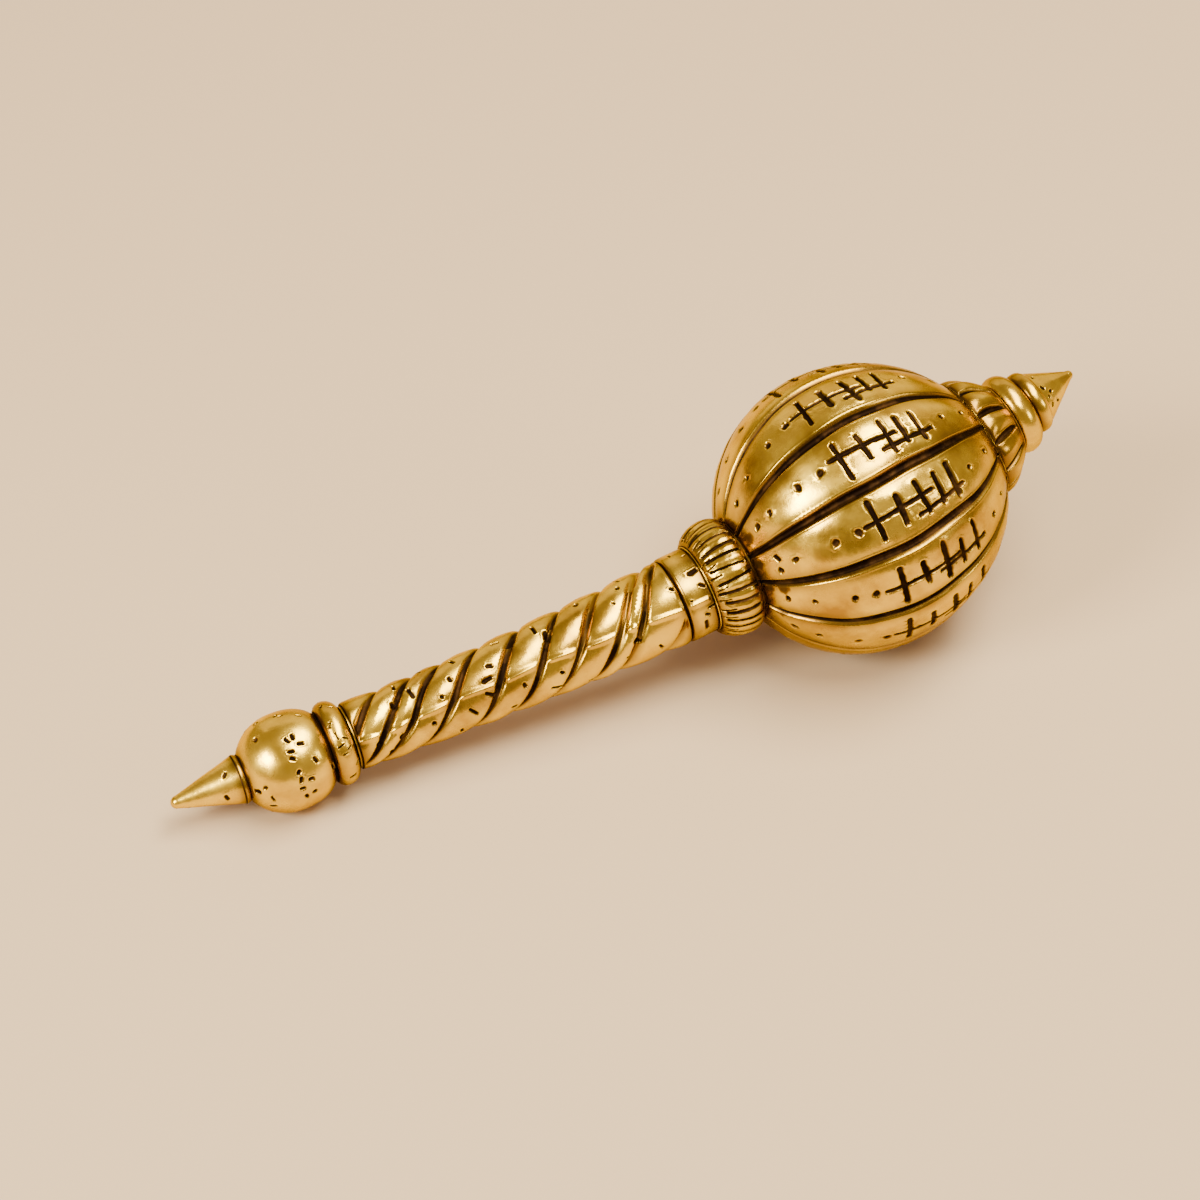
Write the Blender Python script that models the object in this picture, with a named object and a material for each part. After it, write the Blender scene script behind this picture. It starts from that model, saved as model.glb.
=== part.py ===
"""A small ceremonial mace, cast in brass as one piece. It lies on its head and its pommel ball."""

import math

import bmesh
import bpy
import numpy as np
from mathutils import Matrix, Vector

MM = 0.001
TURN = 2 * math.pi

# The side of the mace that faces up and to the front as it lies, turned from its top
SHOWN_SIDE = math.radians(42.7)

# The casting is a little bowed, across the shown side, and its head leans back the most.
# Its axis has this lean at the start, and leans on by the bow and the curl up to its end.
BOW_SIDE = SHOWN_SIDE - math.radians(90)
BOW_START = math.radians(-3.7)
BOW_LEAN = math.radians(3)
BOW_CURL = math.radians(12)

# Pommel spike
SPIKE_LENGTH = 11.3 * MM
SPIKE_TIP_RADIUS = 1.05 * MM
SPIKE_BASE_RADIUS = 4.0 * MM
SPIKE_BEAD_WIDTH = 0.9 * MM
SPIKE_BEAD_RISE = 0.2 * MM

# Pommel ball, a little squarer towards the handle
BALL_RADIUS = 8.1 * MM
BALL_NECK_RADIUS = 3.7 * MM
BALL_SQUARENESS = 2.5
BALL_FLAT_RADIUS = 2.4 * MM

# Pommel ring, between the ball and the handle
POMMEL_RING_WIDTH = 3.9 * MM
POMMEL_RING_RISE = 1.7 * MM
POMMEL_RING_BELOW_BALL = 0.9 * MM
POMMEL_NOTCHES = 14
POMMEL_NOTCH_DEPTH = 0.3 * MM

# Handle, with four grooves that were cut by hand, so each has its own start and lead.
# A start is the distance from the handle's foot at which the groove crosses the shown side.
HANDLE_LENGTH = 56.6 * MM
HANDLE_FOOT_RADIUS = 5.6 * MM
HANDLE_END_RADIUS = 7.15 * MM
HANDLE_SWELL = 1.4
HANDLE_SEAM_WIDTH = 0.6 * MM
HANDLE_SEAM_DEPTH = 0.5 * MM
STRAND_STARTS = (0.2 * MM, 5.9 * MM, 10.4 * MM, 17.2 * MM)
STRAND_LEADS = (25.1 * MM, 26.6 * MM, 29.0 * MM, 29.4 * MM)
STRAND_GROOVE_WIDTH = 1.6 * MM
STRAND_GROOVE_DEPTH = 0.6 * MM
STRAND_CROWN = 0.25 * MM

# Plain band at the handle's end
FERRULE_LENGTH = 4.6 * MM
FERRULE_STEP = 0.15 * MM

# Gadrooned collar under the head
COLLAR_WIDTH = 7.3 * MM
COLLAR_RISE = 2.1 * MM
COLLAR_GADROONS = 30
COLLAR_NOTCH_DEPTH = 0.35 * MM

# Head, with twelve panels that are a little narrower on the shown side
HEAD_RADIUS = 23.8 * MM
HEAD_NEAR_HALF = 23.1 * MM
HEAD_FAR_HALF = 25.6 * MM
HEAD_SEAT_RADIUS = 8.4 * MM
PANELS = 12
PANEL_TURN = SHOWN_SIDE + math.radians(8)
PANEL_UNEVENNESS = math.radians(2.3)
PANEL_GROOVE_HALF_WIDTH = 0.8 * MM
PANEL_GROOVE_DEPTH = 1.1 * MM
PANEL_BEVEL_WIDTH = 0.8 * MM
PANEL_BEVEL_DROP = 0.3 * MM
PANEL_GROOVE_FADE = 0.5
HEAD_FLAT_RADIUS = 5.0 * MM

# Rows of strokes on the panels. A place is measured along the axis from the head's middle.
STROKE_PLACES = (-3.8 * MM, 0.6 * MM, 4.9 * MM, 8.0 * MM, 11.0 * MM)
STROKE_LENGTHS = (6.4 * MM, 4.6 * MM, 6.2 * MM, 4.8 * MM, 5.6 * MM)
STROKE_WIDTH = 0.95 * MM
STROKE_DEPTH = 0.45 * MM

# Crown beyond the head, with twelve petals
CROWN_LENGTH = 6.1 * MM
CROWN_BASE_RADIUS = 10.4 * MM
CROWN_END_RADIUS = 7.0 * MM
CROWN_BULGE = 0.5 * MM
CROWN_TAPER = 1.5
PETALS = 12
PETAL_TURN = SHOWN_SIDE - math.radians(17)
PETAL_GROOVE_DEPTH = 0.8 * MM
PETAL_GROOVE_FADE = 0.5

# Round ring and finial spike
CROWN_RING_WIDTH = 4.4 * MM
CROWN_RING_RADIUS = 7.2 * MM
CROWN_RING_RISE = 2.0 * MM
FINIAL_RING_WIDTH = 2.4 * MM
FINIAL_RING_RADIUS = 5.5 * MM
FINIAL_RING_RISE = 0.6 * MM
FINIAL_LENGTH = 7.8 * MM
FINIAL_TIP_RADIUS = 0.8 * MM

# How finely the sections are divided, as ring points round the axis and steps along it
PLAIN_SIDES = 24
STRAND_SIDES = 5
GADROON_SIDES = 2
PETAL_SIDES = 4
SPIKE_STEPS = 4
TIP_STEPS = 3
BALL_STEPS = 9
BEAD_STEPS = 6
HANDLE_STEPS = 44
COLLAR_STEPS = 7
HEAD_STEPS = 19
CROWN_STEPS = 5

# Two rings with as many points are of one section if no gap between points changes by more
MOST_COLUMN_DRIFT = math.radians(20)


def ring(x, radius, angles):
    """A ring of points round the axis, as rows of place along the axis, radius and angle."""
    angles = np.asarray(angles, float)
    return np.stack([x + 0 * angles, radius + 0 * angles, angles], axis=1)


def even_angles(count):
    return np.arange(count) * TURN / count


def round_tip(x, length, radius, outward):
    """The rings of a small round point. It opens along the axis, or closes where outward is -1."""
    steps = np.arange(1, TIP_STEPS + 1) / TIP_STEPS * math.pi / 2
    if outward < 0:
        steps = steps[::-1]
    return [
        ring(x + outward * length * (1 - math.cos(a)), radius * math.sin(a), even_angles(PLAIN_SIDES))
        for a in steps
    ]


def bead(x, width, foot_radius, rise, foot_change=0.0, sides=PLAIN_SIDES, steps=BEAD_STEPS):
    """The rings of a round bead that stands by rise over a foot, which may change along it."""
    rings = []
    for step in range(steps + 1):
        a = math.pi * step / steps
        share = (1 - math.cos(a)) / 2
        radius = foot_radius + foot_change * share + rise * math.sin(a)
        rings.append(ring(x + width * share, radius, even_angles(sides)))
    return rings


def pommel_spike(x):
    tip = round_tip(x, SPIKE_TIP_RADIUS, SPIKE_TIP_RADIUS, 1)
    rings = tip
    for step in range(1, SPIKE_STEPS + 1):
        share = step / SPIKE_STEPS
        place = x + SPIKE_TIP_RADIUS + share * (SPIKE_LENGTH - SPIKE_TIP_RADIUS)
        radius = SPIKE_TIP_RADIUS + share * (SPIKE_BASE_RADIUS - SPIKE_TIP_RADIUS)
        rings.append(ring(place, radius, even_angles(PLAIN_SIDES)))
    end = x + SPIKE_LENGTH + SPIKE_BEAD_WIDTH
    change = BALL_NECK_RADIUS - SPIKE_BASE_RADIUS
    neck = bead(x + SPIKE_LENGTH, SPIKE_BEAD_WIDTH, SPIKE_BASE_RADIUS, SPIKE_BEAD_RISE, change, steps=3)
    return rings + neck[1:], end


def ball_centre(x):
    """The middle of the ball, whose surface starts at x with the neck's radius."""
    return x + math.sqrt(BALL_RADIUS**2 - BALL_NECK_RADIUS**2)


def pommel_ball(x):
    centre = ball_centre(x)
    first = math.asin(BALL_NECK_RADIUS / BALL_RADIUS)
    foot = pommel_ring_radius() - POMMEL_RING_RISE
    last = BALL_RADIUS * (1 - (foot / BALL_RADIUS) ** BALL_SQUARENESS) ** (1 / BALL_SQUARENESS)
    rings = []
    near_steps = BALL_STEPS // 2
    for step in range(1, near_steps + 1):
        a = first + (math.pi / 2 - first) * step / near_steps
        place = centre - BALL_RADIUS * math.cos(a)
        rings.append(ring(place, BALL_RADIUS * math.sin(a), even_angles(PLAIN_SIDES)))
    far_steps = BALL_STEPS - near_steps
    for step in range(1, far_steps + 1):
        out = last * math.sin(math.pi / 2 * step / far_steps)
        left = 1 - (out / BALL_RADIUS) ** BALL_SQUARENESS
        radius = BALL_RADIUS * left ** (1 / BALL_SQUARENESS)
        rings.append(ring(centre + out, radius, even_angles(PLAIN_SIDES)))
    return rings, centre + last


def pommel_ring_radius():
    return BALL_RADIUS - POMMEL_RING_BELOW_BALL


def pommel_ring(x):
    """A round ring with shallow notches across it. Its foot narrows to the handle's seam."""
    foot = pommel_ring_radius() - POMMEL_RING_RISE
    seam = HANDLE_FOOT_RADIUS - HANDLE_SEAM_DEPTH
    rings = bead(x, POMMEL_RING_WIDTH, foot, POMMEL_RING_RISE, seam - foot, POMMEL_NOTCHES * 2)
    return notched(rings, POMMEL_NOTCH_DEPTH), x + POMMEL_RING_WIDTH


def notched(rings, depth):
    """Sinks every second column of a bead's rings, most at its middle and not at its edges."""
    for index, points in enumerate(rings):
        points[::2, 1] -= depth * math.sin(math.pi * index / (len(rings) - 1))
    return rings


def handle_radius(share):
    return HANDLE_FOOT_RADIUS + (HANDLE_END_RADIUS - HANDLE_FOOT_RADIUS) * share**HANDLE_SWELL


def strand_angles(along):
    """Where the four grooves are at a distance along the handle. They climb to the left."""
    return [
        SHOWN_SIDE - TURN * (along - start) / lead for start, lead in zip(STRAND_STARTS, STRAND_LEADS)
    ]


def handle_ring(x, along):
    """One ring of the handle: grooves between four strands that are lightly crowned."""
    share = along / HANDLE_LENGTH
    base = handle_radius(share)
    edge = STRAND_GROOVE_WIDTH / 2 / base
    grooves = strand_angles(along)
    points = []
    for index, angle in enumerate(grooves):
        following = grooves[(index + 1) % len(grooves)]
        gap = (following - angle) % TURN
        inner = (gap - 2 * edge) / (STRAND_SIDES - 2)
        points.append((x, base - STRAND_GROOVE_DEPTH, angle))
        for side in range(STRAND_SIDES - 1):
            across = side / (STRAND_SIDES - 2)
            lift = STRAND_CROWN * math.sin(math.pi * across)
            points.append((x, base + lift - STRAND_CROWN / 2, angle + edge + side * inner))
    return np.array(points)


def handle(x):
    """The seam at its foot, the twisted strands and the seam at its end."""
    foot = x + HANDLE_SEAM_WIDTH
    end = foot + HANDLE_LENGTH
    seam_radius = HANDLE_FOOT_RADIUS - HANDLE_SEAM_DEPTH
    rings = [ring(foot - HANDLE_SEAM_WIDTH / 2, seam_radius, even_angles(PLAIN_SIDES))]
    for step in range(HANDLE_STEPS + 1):
        along = HANDLE_LENGTH * step / HANDLE_STEPS
        rings.append(handle_ring(foot + along, along))
    seam_radius = HANDLE_END_RADIUS - HANDLE_SEAM_DEPTH
    rings.append(ring(end + HANDLE_SEAM_WIDTH / 2, seam_radius, even_angles(PLAIN_SIDES)))
    return rings, end + HANDLE_SEAM_WIDTH


def ferrule(x):
    radius = HANDLE_END_RADIUS + FERRULE_STEP
    rings = [ring(x + share * FERRULE_LENGTH, radius, even_angles(PLAIN_SIDES)) for share in (0, 0.5, 1)]
    return rings, x + FERRULE_LENGTH


def collar(x):
    """A wide ring with gadroons. Its foot widens from the ferrule to the head's seat."""
    sides = COLLAR_GADROONS * GADROON_SIDES
    change = HEAD_SEAT_RADIUS - HANDLE_END_RADIUS
    rings = bead(x, COLLAR_WIDTH, HANDLE_END_RADIUS, COLLAR_RISE, change, sides, COLLAR_STEPS)
    return notched(rings, COLLAR_NOTCH_DEPTH), x + COLLAR_WIDTH


def panel_groove_angle(index):
    turn = (index + 0.5) * TURN / PANELS
    return PANEL_TURN + turn - PANEL_UNEVENNESS * math.sin(turn)


def panel_columns():
    """The angle of each column of the head, and how far it is sunk at the head's widest."""
    half = PANEL_GROOVE_HALF_WIDTH / HEAD_RADIUS
    rim = half + PANEL_BEVEL_WIDTH / HEAD_RADIUS
    columns = []
    for index in range(PANELS):
        groove = panel_groove_angle(index)
        following = panel_groove_angle(index + 1)
        columns += [
            (groove, PANEL_GROOVE_DEPTH),
            (groove + half, PANEL_BEVEL_DROP),
            (groove + rim, PANEL_BEVEL_DROP / 3),
            ((groove + following) / 2, 0.0),
            (following - rim, PANEL_BEVEL_DROP / 3),
            (following - half, PANEL_BEVEL_DROP),
        ]
    return np.array(columns)


def head_start_angle():
    return math.asin(HEAD_SEAT_RADIUS / HEAD_RADIUS)


def head_end_angle():
    return math.pi - math.asin(CROWN_BASE_RADIUS / HEAD_RADIUS)


def head_half(place):
    """Half the head's length on the side of its middle where the place is."""
    return HEAD_NEAR_HALF if place < 0 else HEAD_FAR_HALF


def head_centre(x):
    return x + HEAD_NEAR_HALF * math.cos(head_start_angle())


def head(x):
    """A globe of panels between deep grooves, which fade out at the collar and at the crown."""
    centre = head_centre(x)
    columns = panel_columns()
    first, last = head_start_angle(), head_end_angle()
    rings = []
    for step in range(HEAD_STEPS + 1):
        share = step / HEAD_STEPS
        a = first + (last - first) * share
        half = head_half(-math.cos(a))
        scale = 1 - columns[:, 1] * math.sin(math.pi * share) ** PANEL_GROOVE_FADE / HEAD_RADIUS
        points = ring(0, 0, columns[:, 0])
        points[:, 0] = centre - half * math.cos(a) * scale
        points[:, 1] = HEAD_RADIUS * math.sin(a) * scale
        rings.append(points)
    return rings, centre - HEAD_FAR_HALF * math.cos(last)


def crown(x):
    """Twelve petals that taper from the head to the round ring, with a groove between each two."""
    sides = PETALS * PETAL_SIDES
    angles = PETAL_TURN + even_angles(sides)
    rings = []
    for step in range(CROWN_STEPS + 1):
        share = step / CROWN_STEPS
        radius = CROWN_BASE_RADIUS + (CROWN_END_RADIUS - CROWN_BASE_RADIUS) * share**CROWN_TAPER
        points = ring(x + share * CROWN_LENGTH, radius + CROWN_BULGE * math.sin(math.pi * share), angles)
        points[::PETAL_SIDES, 1] -= PETAL_GROOVE_DEPTH * math.sin(math.pi * share) ** PETAL_GROOVE_FADE
        rings.append(points)
    return rings, x + CROWN_LENGTH


def crown_ring(x):
    foot = CROWN_RING_RADIUS - CROWN_RING_RISE
    change = FINIAL_RING_RADIUS - FINIAL_RING_RISE - foot
    return bead(x, CROWN_RING_WIDTH, foot, CROWN_RING_RISE, change), x + CROWN_RING_WIDTH


def finial(x):
    """A low ring and the spike that ends the mace."""
    foot = FINIAL_RING_RADIUS - FINIAL_RING_RISE
    rings = bead(x, FINIAL_RING_WIDTH, foot, FINIAL_RING_RISE, steps=4)[1:]
    start = x + FINIAL_RING_WIDTH
    end = start + FINIAL_LENGTH
    tip = round_tip(end, FINIAL_TIP_RADIUS, FINIAL_TIP_RADIUS, -1)
    return rings + tip, end


def join_rings(mesh, low, low_angles, high, high_angles):
    """Joins two rings of different counts with triangles, stepping round both by angle."""
    low_order = np.argsort(np.mod(low_angles, TURN))
    high_order = np.argsort(np.mod(high_angles, TURN))
    low = [low[i] for i in low_order]
    high = [high[i] for i in high_order]
    low_angles = np.mod(low_angles, TURN)[low_order]
    high_angles = np.mod(high_angles, TURN)[high_order]
    low_ends = np.append(low_angles[1:], low_angles[0] + TURN)
    high_ends = np.append(high_angles[1:], high_angles[0] + TURN)
    i = j = 0
    while i < len(low) or j < len(high):
        from_low, from_high = low[i % len(low)], high[j % len(high)]
        if j == len(high) or (i < len(low) and low_ends[i] <= high_ends[j]):
            i += 1
            mesh.faces.new((from_low, low[i % len(low)], from_high))
        else:
            j += 1
            mesh.faces.new((from_low, high[j % len(high)], from_high))


def join_columns(mesh, low, high):
    """Joins two rings of the same columns with four-sided faces."""
    for i in range(len(low)):
        j = (i + 1) % len(low)
        mesh.faces.new((low[i], low[j], high[j], high[i]))


def same_columns(low, high):
    """Whether two rings belong to one section, so that their columns run on, also where they twist."""
    if len(low) != len(high):
        return False
    return bool(np.ptp(np.diff(low[:, 2]) - np.diff(high[:, 2])) < MOST_COLUMN_DRIFT)


def bow_at(x, length):
    """Carries a section of the straight mace at x to its place on the bowed axis."""
    share = x / length
    lean = BOW_START + BOW_LEAN * share + BOW_CURL * share**2
    drift = length * (BOW_START * share + BOW_LEAN * share**2 / 2 + BOW_CURL * share**3 / 3)
    side = Matrix.Rotation(BOW_SIDE, 4, "X")
    on_axis = Matrix.Translation((x, 0, drift)) @ Matrix.Rotation(-lean, 4, "Y")
    return side @ on_axis @ side.inverted() @ Matrix.Translation((-x, 0, 0))


def on_bow(x, radius, angle, length):
    return bow_at(x, length) @ Vector((x, -radius * math.sin(angle), radius * math.cos(angle)))


def solid_from_rings(rings, length):
    """A closed mesh through all the rings, with a point at each end of the length."""
    mesh = bmesh.new()
    levels = [[mesh.verts.new(on_bow(*point, length)) for point in points] for points in rings]
    for low, high, low_points, high_points in zip(levels, levels[1:], rings, rings[1:]):
        if same_columns(low_points, high_points):
            join_columns(mesh, low, high)
        else:
            join_rings(mesh, low, low_points[:, 2], high, high_points[:, 2])
    for tip, level in ((0.0, levels[0]), (length, levels[-1])):
        point = mesh.verts.new(on_bow(tip, 0.0, 0.0, length))
        for i, vertex in enumerate(level):
            mesh.faces.new((vertex, level[(i + 1) % len(level)], point))
    bmesh.ops.recalc_face_normals(mesh, faces=mesh.faces)
    return mesh


def sunk_by_flat(radius, flat_radius):
    """How far a ball of this radius is cut off by a flat of that radius."""
    return radius - math.sqrt(radius**2 - flat_radius**2)


def lying_down(ball_place, head_place, length):
    """Turns the mace until its ball and its head both stand on the ground by their flats."""
    ball = on_bow(ball_place, 0.0, 0.0, length)
    between = on_bow(head_place, 0.0, 0.0, length) - ball
    ball_height = BALL_RADIUS - sunk_by_flat(BALL_RADIUS, BALL_FLAT_RADIUS)
    head_height = HEAD_RADIUS - sunk_by_flat(HEAD_RADIUS, HEAD_FLAT_RADIUS)
    rise = math.asin((head_height - ball_height) / between.length)
    along_x = between.rotation_difference(Vector((1, 0, 0))).to_matrix().to_4x4()
    turn = Matrix.Rotation(-rise, 4, "Y") @ along_x
    return Matrix.Translation((0, 0, ball_height)) @ turn @ Matrix.Translation(-ball)


def cut_flats(mesh):
    """Cuts off all that is below the ground and closes the cuts, which are the flats it lies on."""
    everything = mesh.verts[:] + mesh.edges[:] + mesh.faces[:]
    cut = bmesh.ops.bisect_plane(
        mesh, geom=everything, dist=1e-7, plane_co=(0, 0, 0), plane_no=(0, 0, -1), clear_outer=True
    )
    edges = [item for item in cut["geom_cut"] if isinstance(item, bmesh.types.BMEdge)]
    for vertex in {vertex for edge in edges for vertex in edge.verts}:
        vertex.co.z = 0
    bmesh.ops.edgeloop_fill(mesh, edges=edges)
    bmesh.ops.recalc_face_normals(mesh, faces=mesh.faces)


def centre_on_origin(mesh):
    """Moves the mesh until the middle of its box is over the origin, and gives the move."""
    points = np.array([vertex.co for vertex in mesh.verts])
    middle = (points.min(axis=0) + points.max(axis=0)) / 2
    move = Matrix.Translation((-middle[0], -middle[1], 0))
    bmesh.ops.transform(mesh, matrix=move, verts=mesh.verts)
    return move


def stroke_cutter(head_place, length, to_world):
    """One box for each stroke of each panel, laid across the panel and sunk into its face."""
    mesh = bmesh.new()
    height = 4 * STROKE_DEPTH
    for index in range(PANELS):
        middle = (panel_groove_angle(index) + panel_groove_angle(index + 1)) / 2
        for place, stroke_length in zip(STROKE_PLACES, STROKE_LENGTHS):
            half = head_half(place)
            lean = math.asin(place / half)
            radius = HEAD_RADIUS * math.cos(lean)
            tilt = math.atan2(HEAD_RADIUS * math.sin(lean), half * math.cos(lean))
            stand = (
                bow_at(head_place + place, length)
                @ Matrix.Translation((head_place + place, 0, 0))
                @ Matrix.Rotation(middle, 4, "X")
                @ Matrix.Translation((0, 0, radius))
                @ Matrix.Rotation(tilt, 4, "Y")
            )
            size = Matrix.Diagonal((STROKE_WIDTH, stroke_length, height, 1))
            sink = Matrix.Translation((0, 0, height / 2 - STROKE_DEPTH))
            bmesh.ops.create_cube(mesh, size=1, matrix=to_world @ stand @ sink @ size)
    return mesh


def brass():
    material = bpy.data.materials.new("brass")
    material.use_nodes = True
    shader = material.node_tree.nodes["Principled BSDF"]
    shader.inputs["Base Color"].default_value = (0.62, 0.42, 0.13, 1)
    shader.inputs["Metallic"].default_value = 1
    shader.inputs["Roughness"].default_value = 0.25
    return material


def new_object(name, mesh):
    data = bpy.data.meshes.new(name)
    mesh.to_mesh(data)
    mesh.free()
    made = bpy.data.objects.new(name, data)
    bpy.context.scene.collection.objects.link(made)
    return made


def main():
    for old in list(bpy.data.objects):
        bpy.data.objects.remove(old, do_unlink=True)

    rings = []
    starts = {}
    place = 0.0
    sections = (
        pommel_spike, pommel_ball, pommel_ring, handle, ferrule, collar, head, crown, crown_ring, finial
    )
    for section in sections:
        starts[section] = place
        section_rings, place = section(place)
        if rings and abs(rings[-1][0, 0] - section_rings[0][0, 0]) < 1e-7:
            rings.pop()
        rings += section_rings
    ball_place = ball_centre(starts[pommel_ball])
    head_place = head_centre(starts[head])

    mesh = solid_from_rings(rings, place)
    lie = lying_down(ball_place, head_place, place)
    bmesh.ops.transform(mesh, matrix=lie, verts=mesh.verts)
    cut_flats(mesh)
    move = centre_on_origin(mesh)
    mace = new_object("mace", mesh)
    mace.data.materials.append(brass())
    mace.data.shade_smooth()
    mace.data.set_sharp_from_angle(angle=math.radians(35))

    cutter = new_object("stroke_cutter", stroke_cutter(head_place, place, move @ lie))
    cutter.hide_render = True
    cutter.display_type = "WIRE"
    strokes = mace.modifiers.new("strokes", "BOOLEAN")
    strokes.operation = "DIFFERENCE"
    strokes.solver = "EXACT"
    strokes.object = cutter


main()
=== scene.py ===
"""The looks of a small cast brass mace, which lies on its head and its pommel ball on a pale floor.

Sizes are in millimetres and are scaled to metres when a mesh is made. A point of the mace is
given by its place along the straight outline and its angle round the axis, turned from the top
towards the front. The outline is carved, bowed and laid down as the solid frame is.
"""

import math
from collections import namedtuple

import bpy
import numpy as np
from mathutils import Matrix, Vector


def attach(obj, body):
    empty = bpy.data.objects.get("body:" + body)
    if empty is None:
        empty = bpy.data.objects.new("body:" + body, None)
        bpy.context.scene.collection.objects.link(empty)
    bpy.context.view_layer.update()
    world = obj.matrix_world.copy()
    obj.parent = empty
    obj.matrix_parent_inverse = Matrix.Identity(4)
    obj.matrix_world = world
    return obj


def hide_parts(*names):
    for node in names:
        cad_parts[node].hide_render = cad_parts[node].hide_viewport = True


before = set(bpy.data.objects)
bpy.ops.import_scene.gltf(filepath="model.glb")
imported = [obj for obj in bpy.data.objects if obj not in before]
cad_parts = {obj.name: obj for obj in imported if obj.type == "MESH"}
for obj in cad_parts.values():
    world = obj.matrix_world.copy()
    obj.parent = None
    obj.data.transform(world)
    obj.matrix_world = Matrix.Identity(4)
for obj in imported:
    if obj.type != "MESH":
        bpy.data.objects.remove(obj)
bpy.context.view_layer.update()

MM = 0.001
TURN = 2 * math.pi
FRAME_NODE = "mace"

Mark = namedtuple("Mark", "along angle lean length half_width depth lip dirt", defaults=[1.0])
# The second value of a relief is dirt and patina, together with the painted shade beside grooves and seams
Relief = namedtuple("Relief", "height dirt")
Waves = namedtuple("Waves", "height size seed")

# The side that faces up and to the front, and the bow of the axis across it
SHOWN_SIDE = math.radians(42.7)
BOW_SIDE = SHOWN_SIDE - math.radians(90)
BOW_START = math.radians(-3.7)
BOW_LEAN = math.radians(3)
BOW_CURL = math.radians(12)

# Pommel
SPIKE_LENGTH = 11.3
SPIKE_TIP_RADIUS = 1.05
SPIKE_BASE_RADIUS = 4.0
SPIKE_BEAD_WIDTH = 0.9
SPIKE_BEAD_RISE = 0.2
BALL_RADIUS = 8.1
BALL_NECK_RADIUS = 3.7
BALL_SQUARENESS = 2.5
BALL_FLAT_RADIUS = 2.4
POMMEL_RING_WIDTH = 3.9
POMMEL_RING_RISE = 1.7
POMMEL_RING_BELOW_BALL = 0.9

# Handle and the band at its end
HANDLE_LENGTH = 56.6
HANDLE_FOOT_RADIUS = 5.6
HANDLE_END_RADIUS = 7.15
HANDLE_SWELL = 1.4
HANDLE_SEAM_WIDTH = 0.6
HANDLE_SEAM_DEPTH = 0.5
STRAND_STARTS = (0.2, 5.9, 10.4, 17.2)
STRAND_LEADS = (25.1, 26.6, 29.0, 29.4)
STRAND_GROOVE_HALF_WIDTH = 0.62
STRAND_GROOVE_DEPTH = 0.62
STRAND_END_FADE = 0.5
STRAND_CROWN = 0.36
STRAND_CROWN_REACH = 1.6
STRAND_CROWN_SINK = 0.55
STRAND_DIRT_REACH = 0.8
STRAND_WORN = (0.5, 0.9)
STRAND_WEAR = 0.5
STRAND_HALO_HALF_WIDTH = 0.95
STRAND_FINE_BELOW = -0.17
RIDGE_SIDE = SHOWN_SIDE + math.radians(16)
RIDGE_SAG = math.radians(10)
RIDGE_HALF_WIDTH = 0.4
RIDGE_HEIGHT = 0.3
RIDGE_GAP = 0.9
RIDGE_FERRULE_ENDS = (0.3, 0.6)
RIDGE_END_FADE = 0.4
RIDGE_FINE_REACH = 2
RIDGE_FINE_ABOVE = 0.01
FERRULE_LENGTH = 4.6
FERRULE_STEP = 0.15

# Collar
COLLAR_WIDTH = 7.3
COLLAR_RISE = 2.1
COLLAR_GADROONS = 30

# Head
HEAD_RADIUS = 23.8
HEAD_NEAR_HALF = 23.1
HEAD_FAR_HALF = 25.6
HEAD_SEAT_RADIUS = 8.4
HEAD_FLAT_RADIUS = 5.0
HEAD_SKIN = 0.2
PANELS = 12
PANEL_TURN = SHOWN_SIDE + math.radians(8)
PANEL_UNEVENNESS = math.radians(2.3)
PANEL_GROOVE_HALF_WIDTH = 0.78
PANEL_GROOVE_DEPTH = 0.85
PANEL_BEVEL_WIDTH = 1.7
PANEL_BEVEL_DROP = 0.34
PANEL_BEVEL_REACH = 3
PANEL_GROOVE_FADE = 0.7
PANEL_GROOVE_LEAST = 0.4
PANEL_GROOVE_LIP = 0.07
PANEL_HALO_HALF_WIDTH = 1.8
PANEL_FINE_REACH = 2.2

# Crown, round ring and finial
CROWN_LENGTH = 6.1
CROWN_BASE_RADIUS = 10.4
CROWN_END_RADIUS = 7.0
CROWN_BULGE = 0.5
CROWN_TAPER = 1.5
PETALS = 12
PETAL_TURN = SHOWN_SIDE - math.radians(17)
PETAL_GROOVE_HALF_WIDTH = 0.55
PETAL_GROOVE_LEAST = 0.4
PETAL_GROOVE_LIP = 0.08
PETAL_HALO_HALF_WIDTH = 1.4
PETAL_GROOVE_DEPTH = 0.7
PETAL_FINE_DIRT = 0.002
PETAL_PUFF = 0.62
PETAL_PUFF_REACH = 1.5
PETAL_PUFF_SINK = 0.75
PETAL_BEND = 0.5
CROWN_RING_WIDTH = 4.4
CROWN_RING_RADIUS = 7.2
CROWN_RING_RISE = 2.0
FINIAL_RING_WIDTH = 2.4
FINIAL_RING_RADIUS = 5.5
FINIAL_RING_RISE = 0.6
FINIAL_LENGTH = 7.8
FINIAL_TIP_RADIUS = 0.8

# Where the sections begin and end along the straight axis
BALL_START = SPIKE_LENGTH + SPIKE_BEAD_WIDTH
BALL_CENTRE = BALL_START + math.sqrt(BALL_RADIUS**2 - BALL_NECK_RADIUS**2)
POMMEL_RING_FOOT = BALL_RADIUS - POMMEL_RING_BELOW_BALL - POMMEL_RING_RISE
BALL_REACH_SHARE = (1 - (POMMEL_RING_FOOT / BALL_RADIUS) ** BALL_SQUARENESS) ** (1 / BALL_SQUARENESS)
BALL_REACH = BALL_RADIUS * BALL_REACH_SHARE
POMMEL_RING_START = BALL_CENTRE + BALL_REACH
POMMEL_END = POMMEL_RING_START + POMMEL_RING_WIDTH
HANDLE_FOOT = POMMEL_END + HANDLE_SEAM_WIDTH
HANDLE_END = HANDLE_FOOT + HANDLE_LENGTH
FERRULE_START = HANDLE_END + HANDLE_SEAM_WIDTH
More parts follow.
